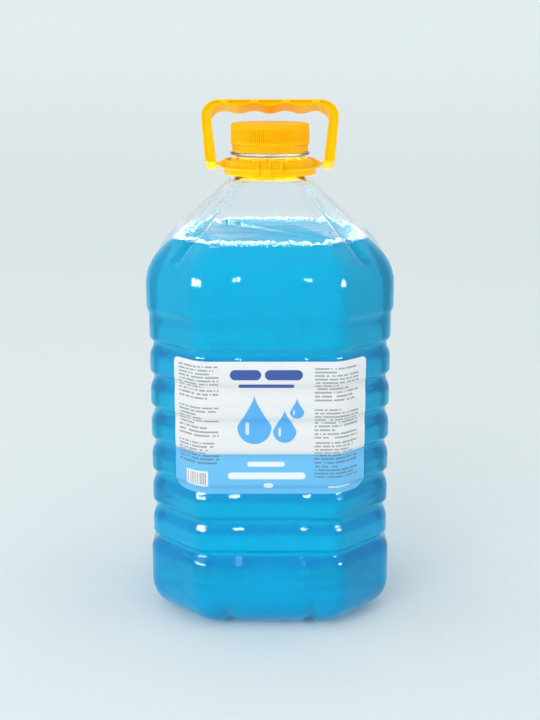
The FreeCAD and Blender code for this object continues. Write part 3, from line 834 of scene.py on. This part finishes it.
def build_cap(settings):
    low, high = bottom_of("screw_cap"), top_of("screw_cap")
    under = top_of("cap_liner")
    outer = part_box("screw_cap")[1].x
    bore = outer - 2.2 * MM
    knurl_low, knurl_high = low + 1.7 * MM, low + 10.1 * MM
    rows = [(1 * MM, under), (bore - 1 * MM, under), (bore, under - 0.6 * MM), (bore, low + 0.5 * MM)]
    rows += [(bore + 0.3 * MM, low), (outer - 0.35 * MM, low), (outer - 0.08 * MM, low + 0.12 * MM)]
    rows += [(outer, low + 0.4 * MM), (outer, low + 1.0 * MM), (outer, knurl_low - 0.25 * MM)]
    rows += [(outer - 0.05 * MM, knurl_low), (outer - 0.05 * MM, knurl_low + 0.5 * MM)]
    rows += [(outer - 0.05 * MM, knurl_low + (knurl_high - knurl_low) * i / 5) for i in range(1, 5)]
    rows += [(outer - 0.05 * MM, knurl_high - 0.5 * MM), (outer - 0.05 * MM, knurl_high)]
    rows += [(outer, knurl_high + 0.3 * MM), (outer, high - 1.7 * MM)]
    for i in range(1, 8):
        angle = math.radians(90 * i / 7)
        rows.append((outer - 1.7 * MM * (1 - math.cos(angle)), high - 1.7 * MM * (1 - math.sin(angle))))
    rows += [(outer - 3.4 * MM, high), (outer - 3.7 * MM, high - 0.22 * MM), (outer - 4.2 * MM, high - 0.25 * MM)]
    rows += [(outer * 0.6, high - 0.22 * MM), (outer * 0.3, high - 0.2 * MM), (1 * MM, high - 0.2 * MM)]
    piece = turned("cap_moulding", rows, 480)
    close_ends(piece)
    knurled(piece, knurl_low + 0.2 * MM, knurl_high - 0.2 * MM, 120)
    outward(piece)
    smooth(piece, 50)
    plastic = moulded_material("cap_plastic", settings.finish.cap, 0.42, 700, 0.00006)
    finish_piece(piece, "cap_body", "cap_plastic", plastic, "screw_cap")
    build_band(settings, plastic)
    liner = moulded_material("liner_foam", (0.82, 0.82, 0.80), 0.7, 1500, 0.0001)
    disc = bpy.data.objects["cap_liner"] if "cap_liner" in bpy.data.objects else None
    if disc is not None:
        disc.data.materials.clear()
        disc.data.materials.append(liner)


def close_ends(piece):
    """Fills the small holes left at the poles."""
    edit(piece, "EDGE")
    choose(piece, "edges", lambda edge: edge.is_boundary)
    bpy.ops.mesh.edge_face_add()
    done()


def build_band(settings, plastic):
    low, high = bottom_of("tamper_band"), top_of("tamper_band")
    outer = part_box("tamper_band")[1].x
    bore = outer - 0.9 * MM
    rows = [(bore, high), (outer - 0.12 * MM, high), (outer, high - 0.12 * MM), (outer, high - 0.9 * MM)]
    rows += [(outer - 0.08 * MM, high - 1.1 * MM), (outer - 0.12 * MM, high - 2.2 * MM)]
    rows += [(outer - 0.35 * MM, low + 0.25 * MM), (outer - 0.6 * MM, low), (bore - 0.9 * MM, low)]
    rows += [(bore - 0.9 * MM, low + 1.5 * MM), (bore, low + 1.7 * MM), (bore, high)]
    piece = turned("band_moulding", rows, 192)
    outward(piece)
    smooth(piece, 50)
    finish_piece(piece, "bottle_body", "cap_plastic", plastic, "tamper_band")


# Handle: collar and bail

def moulded_block(name, size, spot):
    piece = begin(bpy.ops.mesh.primitive_cube_add, name, size=1, location=spot)
    piece.scale = size
    settle(piece)
    return piece


def soften(piece, voxel, rounds):
    """One skin over joined solids, with moulded edges."""
    modify(piece, "REMESH", mode="VOXEL", voxel_size=voxel)
    modify(piece, "SMOOTH", factor=0.5, iterations=rounds)
    smooth(piece)


def build_collar(settings, plastic):
    low, high = bottom_of("handle_collar"), bottom_of("handle_collar") + 9.3 * MM
    outer, bore, ridge = 29.6 * MM, 28.1 * MM, 30.8 * MM
    mid = (low + high) / 2
    rows = [(bore, low), (outer, low), (outer, mid - 0.6 * MM), (ridge, mid - 0.5 * MM), (ridge, mid + 0.5 * MM)]
    rows += [(outer, mid + 0.6 * MM), (outer, high), (bore, high), (bore, low)]
    piece = turned("collar_moulding", rows, 192)
    outward(piece)
    for i in (-1, 0, 1):
        bar = moulded_block("bar", (1.5 * MM, 2.5 * MM, high - low), (7.3 * MM * i, -29.55 * MM, mid))
        combine(piece, bar, "UNION")
    for side in (-1, 1):
        lug = moulded_block("lug", (3.6 * MM, 6 * MM, 5.3 * MM), (side * 30.6 * MM, 0, 289.45 * MM))
        edit(lug)
        choose(lug, "verts", lambda v: v.co.z > 290 * MM and abs(v.co.x) > 30 * MM)
        bpy.ops.transform.translate(value=(0, 0, -2 * MM))
        done()
        combine(piece, lug, "UNION")
    tab_top = top_of("handle_collar")
    for i in range(TAB_COUNT):
        tab = moulded_block("tab", (5.4 * MM, 9.6 * MM, 1.5 * MM), (26 * MM, 0, tab_top - 0.75 * MM))
        edit(tab)
        choose(tab, "verts", lambda v: v.co.x > 27 * MM)
        bpy.ops.transform.translate(value=(0, 0, -4.1 * MM))
        done()
        tab.rotation_euler = (0, 0, 2 * math.pi * i / TAB_COUNT)
        settle(tab)
        combine(piece, tab, "UNION")
    soften(piece, 0.36 * MM, 2)
    finish_piece(piece, "collar_body", "handle_plastic", plastic, "handle_collar")


TAB_COUNT = 14


def bail_block(name, half, foot_half, depth, low, high, corner, segments):
    """A block that narrows to its foot, with its two top corners rounded."""
    piece = moulded_block(name, (2 * half, depth, high - low), (0, 0, (low + high) / 2))
    edit(piece)
    choose(piece, "verts", lambda v: v.co.z < low + 1 * MM)
    bpy.ops.transform.resize(value=(foot_half / half, 1, 1), center_override=(0, 0, low))
    bpy.ops.mesh.select_mode(type="EDGE")
    choose(piece, "edges", lambda e: along(e, 1) and middle(e).z > high - 1 * MM)
    bpy.ops.mesh.bevel(offset=corner, segments=segments, profile=0.5, affect="EDGES")
    done()
    return piece


def build_bail(settings, plastic):
    sizes = settings.handle
    bail = bail_block("bail_moulding", sizes.half_width, sizes.foot_half_width, sizes.thickness, -sizes.foot_drop,
                      sizes.height, 12.7 * MM, 14)
    edit(bail, "EDGE")
    choose(bail, "edges", lambda e: along(e, 1) and middle(e).z < 0)
    bpy.ops.mesh.bevel(offset=3 * MM, segments=5, affect="EDGES")
    done()
    under = sizes.height - sizes.grip
    hole = bail_block("bail_hole", sizes.half_width - sizes.leg, sizes.foot_half_width - sizes.foot,
                      2 * sizes.thickness, -2 * sizes.foot_drop, under, 7.8 * MM, 9)
    edit(hole)
    for step in range(-25, 26):
        bpy.ops.mesh.select_all(action="SELECT")
        bpy.ops.mesh.bisect(plane_co=(step * 1.25 * MM, 0, 0), plane_no=(1, 0, 0))
    done()
    for vertex in hole.data.vertices:
        if vertex.co.z > under - 0.1 * MM:
            swing = math.cos(2 * math.pi * vertex.co.x / sizes.wave_pitch)
            vertex.co.z -= sizes.wave_height / 2 * swing
    combine(bail, hole, "DIFFERENCE")
    edit(bail, "FACE")
    for side in (-1, 1):
        choose(bail, "faces", lambda f: f.normal.y * side > 0.99)
        bpy.ops.mesh.inset(thickness=sizes.rim)
        bpy.ops.mesh.extrude_region_move(TRANSFORM_OT_translate={"value": (0, -side * sizes.recess, 0)})
    done()
    for side in (-1, 1):
        bar = begin(bpy.ops.mesh.primitive_cylinder_add, "bar", vertices=32, radius=1.1 * MM, depth=2.9 * MM,
                    location=(side * 33.95 * MM, 0, 0), rotation=(0, math.pi / 2, 0))
        settle(bar)
        combine(bail, bar, "UNION")
    soften(bail, 0.38 * MM, 2)
    bail.rotation_euler = (-sizes.lean, 0, 0)
    bail.location = (0, 0, sizes.hinge)
    settle(bail)
    finish_piece(bail, "bail_body", "handle_plastic", plastic, "handle_bail")


# Stage, light and camera

def build_stage(settings):
    floor = begin(bpy.ops.mesh.primitive_plane_add, "studio_floor", size=8)
    edit(floor, "EDGE")
    choose(floor, "edges", lambda e: middle(e).y > 3.9)
    bpy.ops.mesh.extrude_region_move(TRANSFORM_OT_translate={"value": (0, 0, 4)})
    choose(floor, "edges", lambda e: middle(e).y > 3.9 and middle(e).z < 0.1 and along(e, 0))
    bpy.ops.mesh.bevel(offset=2.4, segments=24, affect="EDGES")
    done()
    smooth(floor)
    sheet = Sheet("studio_paper")
    spot, parts = sheet.place()
    cloud = sheet.noise(spot, 1.5, 2.0)
    tint = settings.finish.floor
    # Painted light: the paper's tint grows lighter with height, from the floor up to 0.45 m.
    pale = sheet.blend(parts[2].faded(0.0, 0.45), rgba(tint), tuple(min(0.97, c * 1.09) for c in tint) + (1,))
    shade = sheet.blend(cloud * 0.02, pale, (0.5, 0.6, 0.65, 1))
    floor.data.materials.append(sheet.surface(Base_Color=shade, Roughness=0.7, Specular_IOR_Level=0.2))

    world = bpy.data.worlds.new("studio_air")
    world.use_nodes = True
    world.node_tree.nodes["Background"].inputs["Color"].default_value = (0.97, 0.985, 0.99, 1)
    world.node_tree.nodes["Background"].inputs["Strength"].default_value = 0.93
    bpy.context.scene.world = world
    shiny = bpy.data.collections.new("glossy_wall")
    shiny.objects.link(bpy.data.objects["bottle_glass"])
    for name, azimuth, elevation, distance, wide, tall, watts, glint in LAMPS:
        turn, rise = math.radians(azimuth), math.radians(elevation)
        spot = Vector((math.sin(turn) * math.cos(rise), -math.cos(turn) * math.cos(rise), math.sin(rise)))
        clear_selection()
        bpy.ops.object.light_add(type="AREA", location=spot * distance + Vector((0, 0, 0.15)))
        lamp = bpy.context.object
        lamp.name = name
        lamp.rotation_euler = spot.to_track_quat("Z", "Y").to_euler()
        lamp.data.shape = "RECTANGLE"
        lamp.data.size = wide
        lamp.data.size_y = tall
        lamp.data.energy = watts
        lamp.visible_glossy = glint
        if glint:
            lamp.visible_diffuse = False
            lamp.visible_transmission = False
            lamp.light_linking.receiver_collection = shiny


LAMPS = [
    ("softbox_left", -49, 18, 1.5, 1.15, 0.42, 140, True),
    ("softbox_right", 48, 17, 1.5, 0.50, 0.36, 54, True),
    ("window_left", -2.4, 26, 1.6, 0.014, 0.24, 1.1, True),
    ("window_right", 2.6, 25, 1.6, 0.011, 0.20, 0.7, True),
    ("front_fill", -28, 30, 1.6, 0.9, 0.9, 4.4, False),
    ("ceiling", 0, 88, 2.2, 2.2, 2.2, 2.0, False),
]
CAMERA_BACK = 0.7947
CAMERA_HEIGHT = 0.3555
CAMERA_TILT = 13.87
CAMERA_FOCUS_PIXELS = 1228
FRAME_HEIGHT_PIXELS = 720


def build_camera():
    clear_selection()
    bpy.ops.object.camera_add(location=(0, -CAMERA_BACK, CAMERA_HEIGHT),
                              rotation=(math.radians(90 - CAMERA_TILT), 0, 0))
    camera = bpy.context.object
    camera.name = "photo_camera"
    camera.data.sensor_width = 36
    camera.data.lens = 36 * CAMERA_FOCUS_PIXELS / FRAME_HEIGHT_PIXELS
    camera.data.clip_start = 0.01
    bpy.context.scene.camera = camera
    bpy.context.scene.view_settings.view_transform = "Standard"
    bpy.context.scene.view_settings.look = "None"


# Operators, panel and registration

class BOTTLE_OT_vessel(bpy.types.Operator):
    """Build the clear bottle, its gel, foam and label"""
    bl_idname = "bottle.vessel"
    bl_label = "Bottle, gel and label"

    def execute(self, context):
        settings = context.scene.bottle_settings
        contents, label = build_bottle(settings)
        build_gel(settings, contents)
        build_foam(settings)
        build_label(settings, label)
        return {"FINISHED"}


class BOTTLE_OT_cap(bpy.types.Operator):
    """Build the knurled screw cap, its tamper band and the sealing disc's finish"""
    bl_idname = "bottle.cap"
    bl_label = "Cap and band"

    def execute(self, context):
        build_cap(context.scene.bottle_settings)
        return {"FINISHED"}


class BOTTLE_OT_handle(bpy.types.Operator):
    """Build the snap-on collar and the carry bail"""
    bl_idname = "bottle.handle"
    bl_label = "Carry handle"

    def execute(self, context):
        settings = context.scene.bottle_settings
        plastic = moulded_material("handle_plastic", settings.finish.handle, 0.30, 500, 0.00005)
        yellow = settings.finish.handle
        # Painted shade: the collar, the same plastic as the bail, gets a darker, more orange copy of the handle
        # colour.
        collar_shaded_plastic = moulded_material("collar_plastic", (yellow[0] * 0.9, yellow[1] * 0.76, 0.0), 0.30, 500, 0.00005)
        build_collar(settings, collar_shaded_plastic)
        build_bail(settings, plastic)
        return {"FINISHED"}


class BOTTLE_OT_stage(bpy.types.Operator):
    """Build the pale floor, the soft lights and the camera"""
    bl_idname = "bottle.stage"
    bl_label = "Stage"

    def execute(self, context):
        build_stage(context.scene.bottle_settings)
        build_camera()
        return {"FINISHED"}


OPERATORS = (BOTTLE_OT_vessel, BOTTLE_OT_cap, BOTTLE_OT_handle, BOTTLE_OT_stage)


class BOTTLE_PT_panel(bpy.types.Panel):
    """Lists the pieces that can be built"""
    bl_label = "Gel bottle"
    bl_idname = "BOTTLE_PT_panel"
    bl_space_type = "VIEW_3D"
    bl_region_type = "UI"
    bl_category = "Bottle"

    def draw(self, context):
        for operator in OPERATORS:
            self.layout.operator(operator.bl_idname)


CLASSES = (BottleSizes, HandleSizes, Finish, BottleSettings, *OPERATORS, BOTTLE_PT_panel)


def register():
    for item in CLASSES:
        bpy.utils.register_class(item)
    bpy.types.Scene.bottle_settings = PointerProperty(type=BottleSettings)


def unregister():
    del bpy.types.Scene.bottle_settings
    for item in reversed(CLASSES):
        bpy.utils.unregister_class(item)


def main():
    register()
    bpy.ops.bottle.vessel()
    bpy.ops.bottle.cap()
    bpy.ops.bottle.handle()
    bpy.ops.bottle.stage()


if __name__ == "__main__":
    main()
